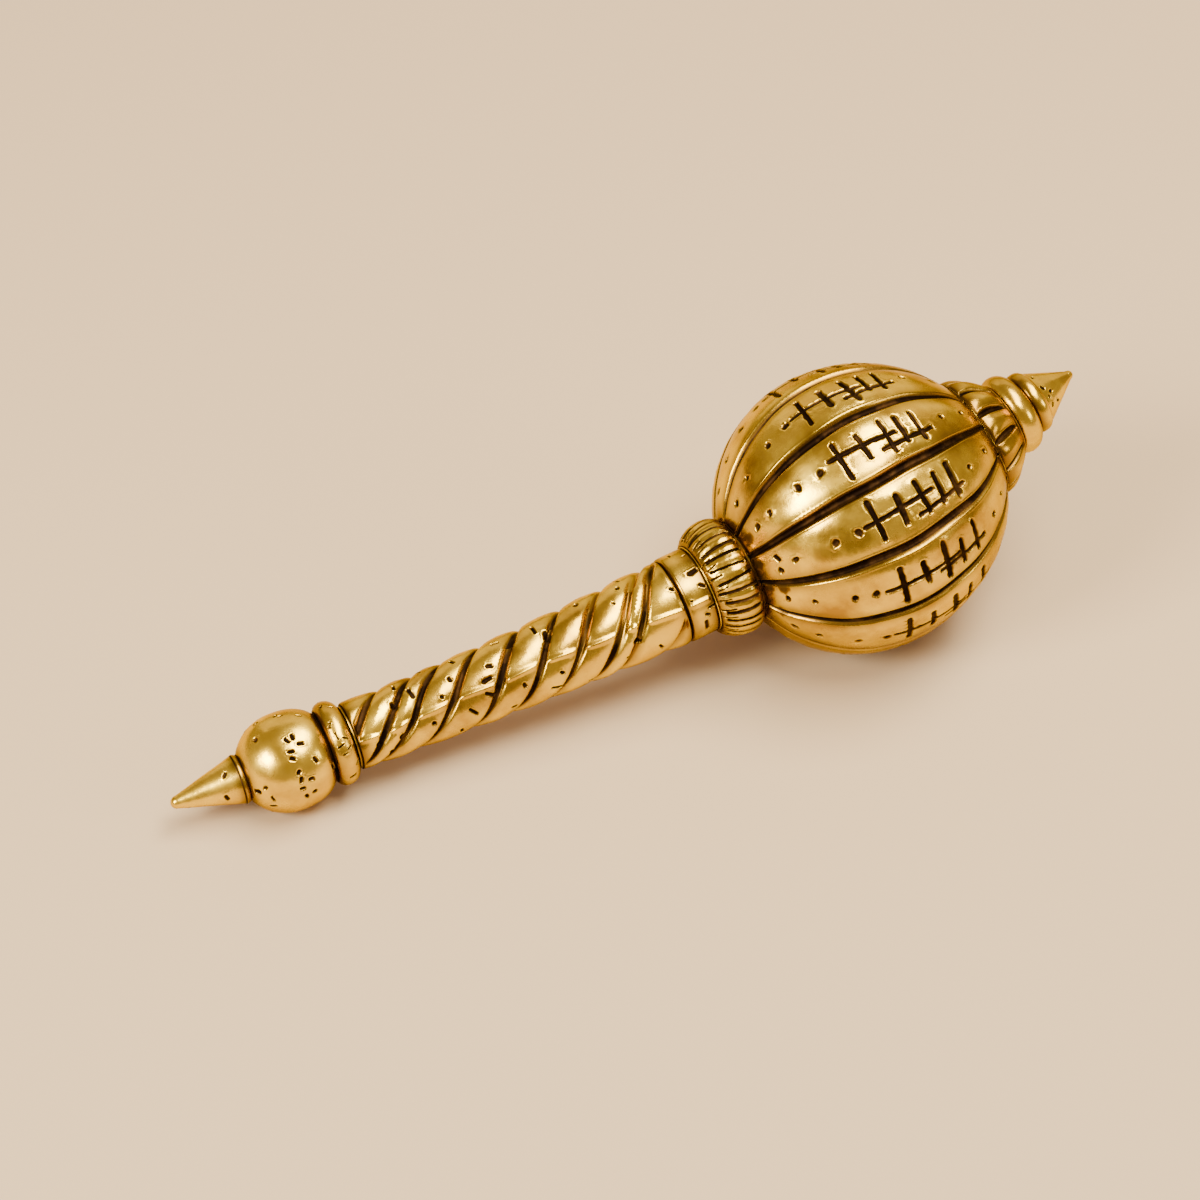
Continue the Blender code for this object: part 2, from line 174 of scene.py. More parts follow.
COLLAR_START = FERRULE_START + FERRULE_LENGTH
HEAD_START = COLLAR_START + COLLAR_WIDTH
HEAD_FIRST_ANGLE = math.asin(HEAD_SEAT_RADIUS / HEAD_RADIUS)
HEAD_LAST_ANGLE = math.pi - math.asin(CROWN_BASE_RADIUS / HEAD_RADIUS)
HEAD_CENTRE = HEAD_START + HEAD_NEAR_HALF * math.cos(HEAD_FIRST_ANGLE)
HEAD_END = HEAD_CENTRE - HEAD_FAR_HALF * math.cos(HEAD_LAST_ANGLE)
CROWN_END = HEAD_END + CROWN_LENGTH
CROWN_RING_END = CROWN_END + CROWN_RING_WIDTH
FINIAL_START = CROWN_RING_END + FINIAL_RING_WIDTH
LENGTH = FINIAL_START + FINIAL_LENGTH

# How the outline is sampled and how softly its corners are rounded
OUTLINE_STEP = 0.02
OUTLINE_ROUNDING = 0.09
SAMPLES = 60

# Fineness of the meshes: plain stretches, along and across grooves, and at marks
HEAD_SIZE = 0.9
PLAIN_SIZE = 0.6
GROOVE_SIZES = (0.9, 0.27)
MARK_SIZE = 0.24
HEAD_MARK_SIZE = 0.32
HIDDEN_FROM = math.radians(105)
HIDDEN_COARSENESS = 1.7
SEAM_SIZE = 0.1
SEAM_SIZE_AROUND = 0.4
SEAM_REACH = 0.8
FINE_SIZE = 0.34
REFINE_PASSES = 6
START_COLUMNS = 72
START_SIZE = 1.6
SLOPE_STEP = 0.03
LEAST_RADIUS = 0.05

# How uneven the cast surface, the edges of the cuts and the runs of the grooves are
EDGE_WAVES = Waves(0.14, 1.3, 5)
SURFACE_WAVES = Waves(0.022, 5.5, 3)
UNEVEN_FROM_RADIUS = 4.0
PANEL_WAVES = Waves(0.1, 14, 40)
STRAND_WAVES = Waves(0.08, 9, 60)
STRAND_WIDTH_WAVES = Waves(0.18, 11, 70)
STRAND_DIRT_WAVES = Waves(0.2, 7, 71)
RIDGE_WAVES = Waves(0.15, 12, 72)
WAVES_TOGETHER = 4
WAVE_SPREAD = (0.7, 1.3)


def turned(angle):
    """The angle as a turn between minus half a turn and half a turn."""
    return (angle + math.pi) % TURN - math.pi


def wavy(waves, *coordinates, number=0):
    """A smooth wandering value about 0, mostly within the waves' height. A number gives another course."""
    random = np.random.default_rng(waves.seed + number)
    total = 0.0
    for _ in range(WAVES_TOGETHER):
        push = random.normal(size=len(coordinates))
        push *= TURN / waves.size * random.uniform(*WAVE_SPREAD) / np.linalg.norm(push)
        phase = random.uniform(0, TURN)
        total = total + np.sin(sum(c * k for c, k in zip(coordinates, push)) + phase)
    return waves.height * total / 2


# Outline

def bead_outline(start, width, foot, rise, foot_change=0.0):
    turn = np.linspace(0, math.pi, SAMPLES)
    share = (1 - np.cos(turn)) / 2
    return start + width * share, foot + foot_change * share + rise * np.sin(turn)


def spike_outline():
    turn = np.linspace(0, math.pi / 2, SAMPLES)
    tip = SPIKE_TIP_RADIUS
    return (
        np.append(tip * (1 - np.cos(turn)), SPIKE_LENGTH),
        np.append(tip * np.sin(turn), SPIKE_BASE_RADIUS),
    )


def ball_outline():
    first = math.asin(BALL_NECK_RADIUS / BALL_RADIUS)
    near = np.linspace(first, math.pi / 2, SAMPLES)
    out = BALL_REACH * np.sin(np.linspace(0, math.pi / 2, SAMPLES))
    far = BALL_RADIUS * (1 - (out / BALL_RADIUS) ** BALL_SQUARENESS) ** (1 / BALL_SQUARENESS)
    return (
        np.append(BALL_CENTRE - BALL_RADIUS * np.cos(near), BALL_CENTRE + out),
        np.append(BALL_RADIUS * np.sin(near), far),
    )


def handle_outline():
    share = np.linspace(0, 1, SAMPLES)
    radius = HANDLE_FOOT_RADIUS + (HANDLE_END_RADIUS - HANDLE_FOOT_RADIUS) * share**HANDLE_SWELL
    ends = (
        (HANDLE_FOOT - HANDLE_SEAM_WIDTH / 2, HANDLE_FOOT_RADIUS - HANDLE_SEAM_DEPTH),
        (HANDLE_END + HANDLE_SEAM_WIDTH / 2, HANDLE_END_RADIUS - HANDLE_SEAM_DEPTH),
    )
    along = HANDLE_FOOT + HANDLE_LENGTH * share
    return (
        np.concatenate(([ends[0][0]], along, [ends[1][0]])),
        np.concatenate(([ends[0][1]], radius, [ends[1][1]])),
    )


def ferrule_outline():
    radius = HANDLE_END_RADIUS + FERRULE_STEP
    return np.array([FERRULE_START, COLLAR_START]), np.array([radius, radius])


def head_outline():
    turn = np.linspace(HEAD_FIRST_ANGLE, HEAD_LAST_ANGLE, 4 * SAMPLES)
    half = np.where(turn < math.pi / 2, HEAD_NEAR_HALF, HEAD_FAR_HALF)
    skin = HEAD_SKIN * np.sin(turn)
    return HEAD_CENTRE - half * np.cos(turn), HEAD_RADIUS * np.sin(turn) - skin


def crown_outline():
    share = np.linspace(0, 1, SAMPLES)
    radius = CROWN_BASE_RADIUS + (CROWN_END_RADIUS - CROWN_BASE_RADIUS) * share**CROWN_TAPER
    return HEAD_END + CROWN_LENGTH * share, radius + CROWN_BULGE * np.sin(math.pi * share)


def finial_outline():
    foot = FINIAL_RING_RADIUS - FINIAL_RING_RISE
    turn = np.linspace(math.pi / 2, 0, SAMPLES)
    tip = FINIAL_TIP_RADIUS
    return (
        np.append(FINIAL_START, LENGTH - tip * (1 - np.cos(turn))),
        np.append(foot, tip * np.sin(turn)),
    )


def whole_outline():
    """Distance along the outline, place along the axis and radius, evenly sampled and softened."""
    crown_foot = CROWN_RING_RADIUS - CROWN_RING_RISE
    finial_foot = FINIAL_RING_RADIUS - FINIAL_RING_RISE
    seam = HANDLE_FOOT_RADIUS - HANDLE_SEAM_DEPTH
    parts = (
        spike_outline(),
        bead_outline(
            SPIKE_LENGTH, SPIKE_BEAD_WIDTH, SPIKE_BASE_RADIUS, SPIKE_BEAD_RISE,
            BALL_NECK_RADIUS - SPIKE_BASE_RADIUS,
        ),
        ball_outline(),
        bead_outline(
            POMMEL_RING_START, POMMEL_RING_WIDTH, POMMEL_RING_FOOT, POMMEL_RING_RISE,
            seam - POMMEL_RING_FOOT,
        ),
        handle_outline(),
        ferrule_outline(),
        bead_outline(
            COLLAR_START, COLLAR_WIDTH, HANDLE_END_RADIUS, COLLAR_RISE,
            HEAD_SEAT_RADIUS - HANDLE_END_RADIUS,
        ),
        head_outline(),
        crown_outline(),
        bead_outline(CROWN_END, CROWN_RING_WIDTH, crown_foot, CROWN_RING_RISE, finial_foot - crown_foot),
        bead_outline(CROWN_RING_END, FINIAL_RING_WIDTH, finial_foot, FINIAL_RING_RISE),
        finial_outline(),
    )
    place = np.concatenate([part[0] for part in parts])
    radius = np.concatenate([part[1] for part in parts])
    run = np.concatenate(([0], np.cumsum(np.hypot(np.diff(place), np.diff(radius)))))
    even = np.arange(0, run[-1], OUTLINE_STEP)
    place, radius = np.interp(even, run, place), np.interp(even, run, radius)
    reach = int(4 * OUTLINE_ROUNDING / OUTLINE_STEP)
    weights = np.exp(-0.5 * (np.arange(-reach, reach + 1) * OUTLINE_STEP / OUTLINE_ROUNDING) ** 2)
    weights /= weights.sum()
    padded_place = np.concatenate((place[reach:0:-1], place, place[-2 : -reach - 2 : -1]))
    padded_radius = np.concatenate((-radius[reach:0:-1], radius, -radius[-2 : -reach - 2 : -1]))
    place = np.convolve(padded_place, weights, "valid")
    radius = np.convolve(padded_radius, weights, "valid")
    return even, place, radius


RUN, RUN_PLACE, RUN_RADIUS = whole_outline()
RUN_SLOPE = np.arctan2(np.gradient(RUN_RADIUS), np.gradient(RUN_PLACE))


def run_at(place):
    """Distance along the outline at a place along the axis."""
    return np.interp(place, RUN_PLACE, RUN)


def place_at(run):
    return np.interp(run, RUN, RUN_PLACE)


def radius_at(run):
    return np.interp(run, RUN, RUN_RADIUS)


# Marks: strokes, rails, dots, pits, notches and stains are all short cuts with round ends.
# Their reaches and the place of their lips are in half widths of the mark.

MARK_REACH = 3.2
MARK_DIRT_REACH = 1.12
MARK_FINE_REACH = 2.0
MARK_FINE_MARGIN = 0.1
LIP_PLACE = 1.65
LIP_SPREAD = 0.5
LIP_STOP = 0.12


def offsets_from(mark, run, angle, radius):
    """How far a point is from a mark's middle, along the mark and across it."""
    along = run - mark.along
    around = radius * turned(angle - mark.angle)
    c, s = math.cos(mark.lean), math.sin(mark.lean)
    return along * c + around * s, around * c - along * s


def points_near(mark, run, angle, radius):
    """The numbers of the points that a mark can reach."""
    reach = mark.length / 2 + MARK_REACH * mark.half_width
    close = np.flatnonzero(np.abs(run - mark.along) < reach)
    around = radius[close] * turned(angle[close] - mark.angle)
    return close[np.abs(around) < reach]


def distance_from(mark, run, angle, radius):
    lengthwise, across = offsets_from(mark, run, angle, radius)
    beyond = np.maximum(np.abs(lengthwise) - mark.length / 2, 0)
    return np.hypot(beyond, across)


def cut_marks(marks, run, angle, radius):
    """The height and the dirt that all marks together give each point."""
    deep, raised, dirt = np.zeros_like(run), np.zeros_like(run), np.zeros_like(run)
    rough = wavy(EDGE_WAVES, run, radius * np.cos(angle), radius * np.sin(angle))
    for mark in marks:
        near = points_near(mark, run, angle, radius)
        if not len(near):
            continue
        distance = distance_from(mark, run[near], angle[near], radius[near])
        share = distance / mark.half_width * (1 + rough[near])
        lip = mark.lip * np.exp(-(((share - LIP_PLACE) / LIP_SPREAD) ** 2))
        soiled = mark.dirt * np.exp(-((share / MARK_DIRT_REACH) ** 4))
        deep[near] = np.maximum(deep[near], mark.depth * np.exp(-(share**3)))
        raised[near] = np.maximum(raised[near], lip)
        dirt[near] = np.maximum(dirt[near], soiled)
    return Relief(raised * np.clip(1 - deep / LIP_STOP, 0, 1) - deep, dirt)


def near_marks(marks, run, angle, radius):
    """Whether each point is on a mark or at its edge."""
    found = np.zeros(len(run), bool)
    for mark in marks:
        near = points_near(mark, run, angle, radius)
        if len(near):
            distance = distance_from(mark, run[near], angle[near], radius[near])
            found[near] |= distance < MARK_FINE_REACH * mark.half_width + MARK_FINE_MARGIN
    return found


# Pits. In the tables a pit has its distance along the axis from the start of its section,
# its turn from the shown side in degrees, its length and its half width.

PIT_LIP = 0.035
PIT_SHARE = 0.8
PIT_DEPTH = 0.3
FERRULE_PIT_DEPTH = 0.28
SPIKE_PIT_DEPTH = 0.25
SHALLOW_PIT_DEPTH = 0.2
SCATTER_REACH = math.radians(92)
SCATTER_LENGTH = 1.5


def scattered(random, first, last, count, half_widths, depth, stretch=0.6):
    """Pits scattered by chance round the hidden side, each with its own size and lean."""
    marks = []
    for _ in range(count):
        half_width = random.uniform(*half_widths)
        angle = SHOWN_SIDE + math.pi + random.uniform(-1, 1) * SCATTER_REACH
        run = run_at(random.uniform(first, last))
        lean = random.uniform(0, math.pi)
        length = half_width * stretch * random.exponential(SCATTER_LENGTH)
        marks.append(Mark(run, angle, lean, length, half_width, depth, PIT_LIP))
    return marks


def placed(random, start, pits, depth):
    """The pits of a table, each with a lean by chance."""
    marks = []
    for place, turn, length, half_width in pits:
        angle = SHOWN_SIDE + math.radians(turn)
        lean = random.uniform(0, math.pi)
        marks.append(Mark(run_at(start + place), angle, lean, length, PIT_SHARE * half_width, depth, PIT_LIP))
    return marks


# Grooves, the bright lips beside them and the brown tarnish and painted shade round them

GROOVE_DIRT_REACH = 1.05
GROOVE_DIRT_GAIN = 2
GROOVE_LIP_PLACE = 1.5
GROOVE_LIP_SPREAD = 0.3
LEAST_WIDTH = 0.001
# How dark the halo beside a groove or a seam is: brown tarnish and painted shade
HALO = 0.35


def trench(distance, half_width, depth, dirt_reach=GROOVE_DIRT_REACH):
    """A groove with a round bottom and soft edges, and the dirt in it."""
    share = np.abs(distance) / np.maximum(half_width, LEAST_WIDTH)
    return Relief(-depth * np.exp(-(share**3)), np.exp(-((share / dirt_reach) ** 4)))


def groove_lip(distance, half_width):
    """The share of its height that the lip beside a groove has."""
    share = np.abs(distance) / half_width
    return np.exp(-(((share - GROOVE_LIP_PLACE) / GROOVE_LIP_SPREAD) ** 2))


def halo(distance, half_width):
    """Brown tarnish and painted shade that darken the brass beside a groove or a seam."""
    return HALO * np.exp(-((distance / half_width) ** 2))


# Head. Places on a panel are measured along the axis from the globe's middle, and sides across it.

HEAD_SEED = 21
MARK_LIP = 0.05
STROKE_PLACES = (-3.8, 0.6, 4.9, 8.0, 11.0)
STROKE_LENGTHS = (7.2, 5.0, 6.8, 5.2, 6.2)
STROKE_HALF_WIDTH = 0.43
STROKE_DEPTH = 0.45
STROKE_LEAN_SPREAD = 3.5
STROKE_SIDE_SPREAD = 0.25
STROKE_PLACE_SPREAD = 0.2
STROKE_LENGTH_RANGE = (0.9, 1.08)
STROKE_WIDTH_RANGE = (0.85, 1.2)
RAIL_ENDS = ((-5.9, 6.7), (3.1, 12.9))
RAIL_SIDES = (0.1, 1.5)
RAIL_HALF_WIDTH = 0.36
RAIL_DEPTH = 0.36
RAIL_SIDE_SPREAD = 0.25
RAIL_LEAN_SPREAD = 2.5
RAIL_LENGTH_SPREAD = 0.4
DOT_PLACES = (-18.85, -16.3, -11.3, -7.4, 15.3, 19.4)
DOT_HALF_WIDTHS = (0.42, 0.4, 0.5, 0.55, 0.4, 0.36)
DOT_DEPTH = 0.42
DOT_SPREAD = 0.35
DOT_LENGTHS = (0.05, 0.35)
DOT_WIDTH_RANGE = (0.85, 1.1)

# Stains by the collar: distance from it, turn from the shown side in degrees and half width
STAINS = ((0.9, 27, 0.8), (2.3, 27, 0.9), (1.5, 52, 1.0), (1.2, -20, 0.9), (0.8, 3, 1.0))
STAIN_LEAN = 0.3
STAIN_LENGTH = 0.3
STAIN_DIRT = 0.62

# Clouds on one panel: place, side and half width
CLOUDED_PANEL = 11
CLOUDS = ((-10.5, -1.2, 1.6), (-8.0, 0.8, 1.9), (-12.5, 1.0, 1.5))
CLOUD_LEAN = 0.2
CLOUD_LENGTH = 1.5
CLOUD_DIRT = 0.26

HEAD_PITS = ((3.0, 4, 0.8, 0.45),)


def panel_groove_angle(index):
    turn = (index + 0.5) * TURN / PANELS
    return PANEL_TURN + turn - PANEL_UNEVENNESS * math.sin(turn)


def panel_middle(index):
    return (panel_groove_angle(index) + panel_groove_angle(index + 1)) / 2


def mark_on_panel(middle, place, side, lean, length, half_width, depth):
    """A mark on the panel that has its middle at this angle."""
    run = run_at(HEAD_CENTRE + place)
    return Mark(run, middle + side / radius_at(run), lean, length, half_width, depth, MARK_LIP)


def stain(run, angle, lean, length, half_width, dirt):
    """Dirt that lies on the surface and cuts nothing."""
    return Mark(run, angle, lean, length, half_width, 0.0, 0.0, dirt)


def panel_marks(random, middle):
    """A row of dots, five uneven strokes and two rails that run through them."""
    marks = []
    for place, length in zip(STROKE_PLACES, STROKE_LENGTHS):
        lean = math.radians(90 + random.normal(0, STROKE_LEAN_SPREAD))
        side = random.normal(0, STROKE_SIDE_SPREAD)
        length = length * random.uniform(*STROKE_LENGTH_RANGE) - 2 * STROKE_HALF_WIDTH
        place = place + random.normal(0, STROKE_PLACE_SPREAD)
        half_width = STROKE_HALF_WIDTH * random.uniform(*STROKE_WIDTH_RANGE)
        marks.append(mark_on_panel(middle, place, side, lean, length, half_width, STROKE_DEPTH))
    for (start, end), side in zip(RAIL_ENDS, RAIL_SIDES):
        side = side + random.normal(0, RAIL_SIDE_SPREAD)
        lean = math.radians(random.normal(0, RAIL_LEAN_SPREAD))
        length = end - start + random.normal(0, RAIL_LENGTH_SPREAD)
        place = (start + end) / 2
        marks.append(mark_on_panel(middle, place, side, lean, length, RAIL_HALF_WIDTH, RAIL_DEPTH))
    for place, half_width in zip(DOT_PLACES, DOT_HALF_WIDTHS):
        place = place + random.normal(0, DOT_SPREAD)
        side = random.normal(0, DOT_SPREAD)
        lean = random.uniform(0, math.pi)
        length = random.uniform(*DOT_LENGTHS)
        half_width = half_width * random.uniform(*DOT_WIDTH_RANGE)
        marks.append(mark_on_panel(middle, place, side, lean, length, half_width, DOT_DEPTH))
    return marks


def head_marks():
    """The marks of all panels, with the stains, the pit and the clouds of the shown side."""
    random = np.random.default_rng(HEAD_SEED)
    marks = []
    for index in range(PANELS):
        marks += panel_marks(random, panel_middle(index))
    for place, turn, half_width in STAINS:
        angle = SHOWN_SIDE + math.radians(turn)
        run = run_at(HEAD_START + place)
        marks.append(stain(run, angle, STAIN_LEAN, STAIN_LENGTH, half_width, STAIN_DIRT))
    marks += placed(random, HEAD_START, HEAD_PITS, PIT_DEPTH)
    for place, side, half_width in CLOUDS:
        run = run_at(HEAD_CENTRE + place)
        angle = panel_middle(CLOUDED_PANEL) + side / radius_at(run)
        marks.append(stain(run, angle, CLOUD_LEAN, CLOUD_LENGTH, half_width, CLOUD_DIRT))
    return marks


def head_grooves(run, angle, radius):
    """The grooves between the panels, widest at the globe's middle, with bevelled edges."""
    place = place_at(run) - HEAD_CENTRE
    half = np.where(place < 0, HEAD_NEAR_HALF, HEAD_FAR_HALF)
    turn = np.arccos(np.clip(-place / half, -1, 1))
    share = np.clip((turn - HEAD_FIRST_ANGLE) / (HEAD_LAST_ANGLE - HEAD_FIRST_ANGLE), 0, 1)
    fade = PANEL_GROOVE_LEAST + (1 - PANEL_GROOVE_LEAST) * np.sin(math.pi * share) ** PANEL_GROOVE_FADE
    height, dirt = np.zeros_like(run), np.zeros_like(run)
    for index in range(PANELS):
        wander = wavy(PANEL_WAVES, run, number=index)
        whole_away = radius * turned(angle - panel_groove_angle(index)) + wander
        near = np.abs(whole_away) < PANEL_BEVEL_REACH * PANEL_BEVEL_WIDTH
        away, size = whole_away[near], fade[near]
        half_width = PANEL_GROOVE_HALF_WIDTH * size
        cut = trench(away, half_width, PANEL_GROOVE_DEPTH * size)
        bevel = PANEL_BEVEL_DROP * size * np.exp(-((away / PANEL_BEVEL_WIDTH) ** 2))
        lip = PANEL_GROOVE_LIP * groove_lip(away, half_width)
        height[near] += cut.height - bevel + lip
        filled = cut.dirt * np.minimum(1, GROOVE_DIRT_GAIN * size)
        # the halo beside each groove is brown tarnish and painted shade
        dirt[near] = np.maximum.reduce([dirt[near], filled, halo(away, PANEL_HALO_HALF_WIDTH)])
    return Relief(height, dirt)


def near_head_grooves(run, angle, radius):
    found = np.zeros(len(run), bool)
    for index in range(PANELS):
        away = radius * turned(angle - panel_groove_angle(index))
        found |= np.abs(away) < PANEL_FINE_REACH * PANEL_GROOVE_HALF_WIDTH
    return found


# Handle

HANDLE_SEED = 33
HANDLE_PITS = (
    (33.1, -50, 1.4, 0.3), (34.4, -33, 1.0, 0.5), (26.6, -59, 0.9, 0.25), (19.0, -59, 0.7, 0.3),
    (17.3, -28, 0.4, 0.38), (23.9, -22, 0.5, 0.4), (15.0, -6, 0.2, 0.33), (8.7, -58, 0.6, 0.25),
    (10.7, -32, 1.5, 0.4), (7.2, -25, 0.4, 0.4), (3.1, 32, 0.3, 0.42), (4.7, 56, 0.7, 0.3),
    (7.0, 32, 0.4, 0.38), (12.4, 29, 0.1, 0.42), (16.6, 67, 0.7, 0.3), (19.0, 35, 1.5, 0.3),
    (22.4, 19, 1.3, 0.38), (22.7, -4, 1.3, 0.42), (28.1, 26, 0.5, 0.32), (25.7, 56, 0.5, 0.25),
    (34.5, 30, 0.5, 0.3), (33.2, 52, 1.7, 0.25), (39.0, 67, 0.5, 0.22), (46.7, -32, 0.1, 0.2),
    (49.4, -73, 0.9, 0.17), (48.6, -55, 0.2, 0.38), (41.3, -62, 0.3, 0.4), (42.6, -89, 0.5, 0.25),
    (56.0, -15, 0.4, 0.3), (47.7, 32, 0.5, 0.52), (51.2, 54, 0.8, 0.2), (45.5, 51, 0.3, 0.2),
    (13.6, -74, 0.6, 0.2),
)


def ridge_angle(along):
    """The side of the low casting ridge that runs down the handle."""
    return RIDGE_SIDE - RIDGE_SAG * np.sin(math.pi * np.clip(along / HANDLE_LENGTH, 0, 1))


def ridge_height(away):
    return RIDGE_HEIGHT * np.exp(-((away / RIDGE_HALF_WIDTH) ** 2))


def handle_grooves(run, angle, radius):
    """Four grooves that climb the handle to the left, between strands that are lightly crowned."""
    along = place_at(run) - HANDLE_FOOT
    aways = []
    for index, (start, lead) in enumerate(zip(STRAND_STARTS, STRAND_LEADS)):
        middle = SHOWN_SIDE - TURN * (along - start) / lead
        squeeze = 1 / np.sqrt(1 + (TURN * radius / lead) ** 2)
        wander = wavy(STRAND_WAVES, along, number=index)
        aways.append(radius * turned(angle - middle) * squeeze + wander)
    nearest = np.min(np.abs(aways), axis=0)
    inside = np.clip(np.minimum(along, HANDLE_LENGTH - along) / STRAND_END_FADE, 0, 1)
    width = STRAND_GROOVE_HALF_WIDTH * (1 + wavy(STRAND_WIDTH_WAVES, along, angle))
    cut = trench(nearest, width, STRAND_GROOVE_DEPTH * inside, STRAND_DIRT_REACH)
    crowned = 1 - np.exp(-((nearest / STRAND_CROWN_REACH) ** 2)) - STRAND_CROWN_SINK
    worn_from, worn_to = STRAND_WORN
    worn = np.clip((along / HANDLE_LENGTH - worn_from) / (worn_to - worn_from), 0, 1)
    filled = cut.dirt * inside * (1 - STRAND_WEAR * worn + wavy(STRAND_DIRT_WAVES, run, angle))
    # the halo beside each groove is brown tarnish and painted shade
    dirt = np.maximum(filled, halo(nearest, STRAND_HALO_HALF_WIDTH))
    ridge_away = radius * turned(angle - ridge_angle(along)) + wavy(RIDGE_WAVES, along)
    unbroken = 1 - np.exp(-((nearest / RIDGE_GAP) ** 4))
    height = cut.height + STRAND_CROWN * inside * crowned + ridge_height(ridge_away) * inside * unbroken
    return Relief(height, np.clip(dirt, 0, 1))


def near_handle_grooves(run, angle, radius):
    along = place_at(run) - HANDLE_FOOT
    ridge_away = np.abs(radius * turned(angle - ridge_angle(along)))
    in_groove = handle_grooves(run, angle, radius).height < STRAND_FINE_BELOW
    return in_groove | (ridge_away < RIDGE_FINE_REACH * RIDGE_HALF_WIDTH)


def handle_marks():
    random = np.random.default_rng(HANDLE_SEED)
    first, last = HANDLE_FOOT + 1, HANDLE_END - 1
    hidden = scattered(random, first, last, count=50, half_widths=(0.18, 0.42), depth=PIT_DEPTH)
    return hidden + placed(random, HANDLE_FOOT, HANDLE_PITS, PIT_DEPTH)


# Collar and ferrule. Spreads and ranges are those of the draws for each notch.

COLLAR_SEED = 7
NOTCH_TURN_SPREAD = 0.12
NOTCH_PLACE_SPREAD = 0.3
NOTCH_LEAN = (0.05, 0.06)
NOTCH_LENGTHS = (5.2, 7.2)
NOTCH_HALF_WIDTHS = (0.2, 0.36)
NOTCH_DEPTHS = (0.3, 0.45)
VALLEY_SHORTENING = 1.0
VALLEY_HALF_WIDTH = 0.75
VALLEY_DEPTH = 0.16
VALLEY_DIRT = 0.12
NICK_TURNS = (0.4, 0.6)
NICK_PLACE = -2.7
NICK_PLACE_SPREAD = 0.2
NICK_LEAN_SPREAD = 0.1
NICK_LENGTHS = (1.6, 2.8)
NICK_HALF_WIDTHS = (0.12, 0.18)
NICK_DEPTH = 0.16
NICK_DIRT = 0.8
FERRULE_PITS = (
    (3.2, -24, 1.1, 0.46), (3.5, -3, 0.8, 0.3), (3.8, 27, 1.1, 0.26), (2.7, 36, 0.4, 0.34),
    (2.2, 52, 1.6, 0.3), (1.7, -69, 0.8, 0.15), (3.6, -54, 0.5, 0.14), (0.9, 10, 0.2, 0.2),
)


def ferrule_ridge(run, angle, radius):
    """The casting ridge of the handle, which runs on over the ferrule."""
    along = place_at(run) - FERRULE_START
    from_ends = np.minimum(along - RIDGE_FERRULE_ENDS[0], FERRULE_LENGTH - RIDGE_FERRULE_ENDS[1] - along)
    inside = np.clip(from_ends / RIDGE_END_FADE, 0, 1)
    away = radius * turned(angle - RIDGE_SIDE)
    return Relief(ridge_height(away) * inside, np.zeros_like(run))


def near_ferrule_ridge(run, angle, radius):
    return ferrule_ridge(run, angle, radius).height > RIDGE_FINE_ABOVE


def collar_marks():
    """Notches across the collar, with shallow valleys and short nicks between, and the ferrule's pits."""
    random = np.random.default_rng(COLLAR_SEED)
    pitch = TURN / COLLAR_GADROONS
    middle = run_at(COLLAR_START + COLLAR_WIDTH / 2)
    marks = []
    for index in range(COLLAR_GADROONS):
        angle = (index + random.normal(0, NOTCH_TURN_SPREAD)) * pitch
        along = middle + random.normal(0, NOTCH_PLACE_SPREAD)
        lean = random.normal(*NOTCH_LEAN)
        length = random.uniform(*NOTCH_LENGTHS)
        half_width = random.uniform(*NOTCH_HALF_WIDTHS)
        marks.append(Mark(along, angle, lean, length, half_width, random.uniform(*NOTCH_DEPTHS), 0.0))
        length -= VALLEY_SHORTENING
        marks.append(Mark(along, angle, lean, length, VALLEY_HALF_WIDTH, VALLEY_DEPTH, 0.0, VALLEY_DIRT))
        between = angle + random.uniform(*NICK_TURNS) * pitch
        along = middle + NICK_PLACE + random.normal(0, NICK_PLACE_SPREAD)
        lean = random.normal(0, NICK_LEAN_SPREAD)
        length = random.uniform(*NICK_LENGTHS)
        half_width = random.uniform(*NICK_HALF_WIDTHS)
        marks.append(Mark(along, between, lean, length, half_width, NICK_DEPTH, 0.0, NICK_DIRT))
    marks += scattered(random, FERRULE_START + 1, COLLAR_START - 1, count=8, half_widths=(0.18, 0.34),
                       depth=0.26, stretch=2.0)
    return marks + placed(random, FERRULE_START, FERRULE_PITS, FERRULE_PIT_DEPTH)


# Pommel

POMMEL_SEED = 11
BALL_PITS = (
    (3.2, -44, 0.2, 0.46), (7.7, -65, 0.5, 0.25), (8.4, -61, 0.4, 0.25), (11.1, -54, 0.5, 0.25),
    (4.5, -72, 0.5, 0.25), (7.6, -22, 0.5, 0.34), (8.6, -24, 0.6, 0.36), (9.4, -13, 0.7, 0.36),
    (7.5, -8, 0.7, 0.32), (7.4, 0, 0.4, 0.38), (10.8, 11, 0.7, 0.34), (7.6, 17, 0.2, 0.46),
    (7.6, 27, 0.7, 0.36), (9.2, 30, 0.3, 0.44), (7.5, 38, 0.3, 0.38), (7.8, 51, 0.4, 0.33),
    (9.2, 49, 0.3, 0.33), (2.1, 26, 0.2, 0.3), (2.7, 46, 0.7, 0.25), (2.6, 62, 0.8, 0.3),
    (0.9, 35, 0.5, 0.5), (13.3, 32, 0.6, 0.3),
)
SPIKE_PITS = ((9.2, -24, 0.5, 0.34), (8.4, 42, 0.5, 0.4), (2.8, 86, 0.4, 0.3))
RING_PITS = (
    (1.2, -63, 0.5, 0.2), (2.5, -54, 0.5, 0.2), (1.1, -25, 1.0, 0.14), (3.3, 40, 0.6, 0.2),
    (2.1, 58, 0.9, 0.22), (1.4, -7, 1.1, 0.15), (2.6, -1, 0.9, 0.15), (1.5, 7, 1.0, 0.15),
    (2.7, 13, 1.0, 0.15), (1.8, 19, 0.8, 0.15),
)


